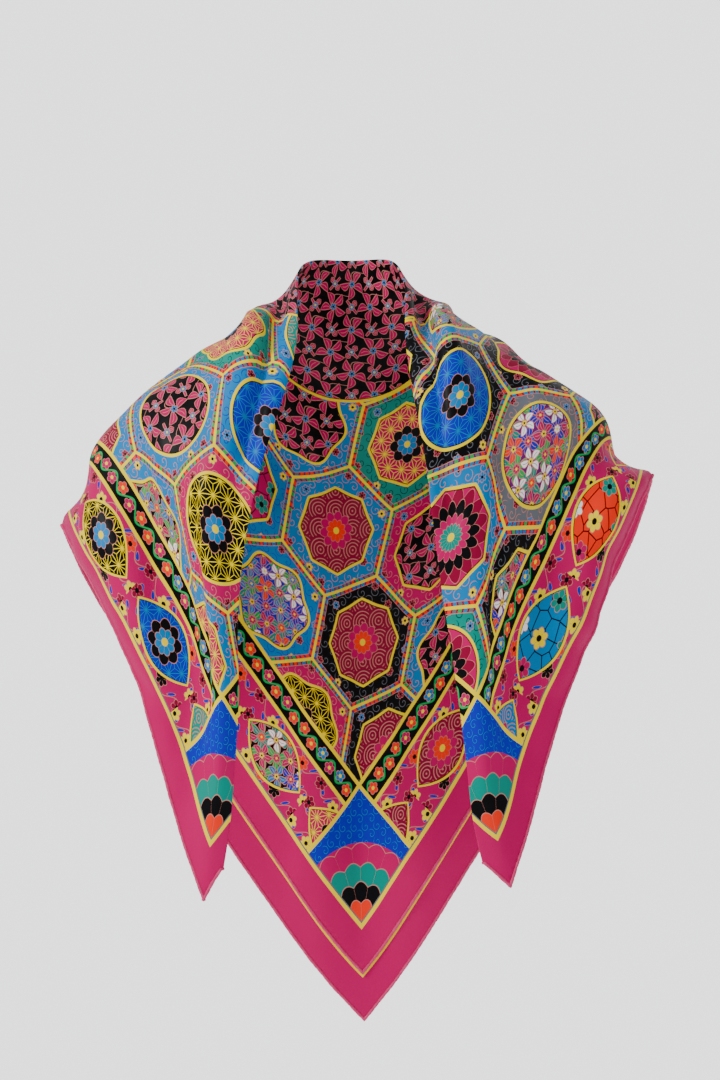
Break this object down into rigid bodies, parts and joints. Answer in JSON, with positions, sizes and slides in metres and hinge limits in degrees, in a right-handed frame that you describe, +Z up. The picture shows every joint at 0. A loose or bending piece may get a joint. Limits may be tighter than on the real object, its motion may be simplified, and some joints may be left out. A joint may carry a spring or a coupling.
{
  "type": "silk square scarf",
  "caption": "Square silk twill scarf with rolled hems, folded corner to corner and worn open over the shoulders as a shawl.",
  "frame": {"origin": "inside the neck, on its middle line, at the height of the neck's base", "axes": "+Z up, -Y the way the wearer faces, +X towards the wearer's left hand"},
  "size_m": [0.4859, 0.2532, 0.6422],
  "materials": {
    "silk_print": "soft sheen",
    "silk_border": "soft sheen"
  },
  "bodies": {
    "root": {"cloth_left_front": "silk_print", "cloth_back": "silk_print", "cloth_right_front": "silk_print", "hem_outer_left": "silk_border", "hem_under_left": "silk_border", "hem_tip_left": "silk_border", "hem_outer_right": "silk_border", "hem_under_right": "silk_border", "hem_tip_right": "silk_border"}
  },
  "joints": []
}
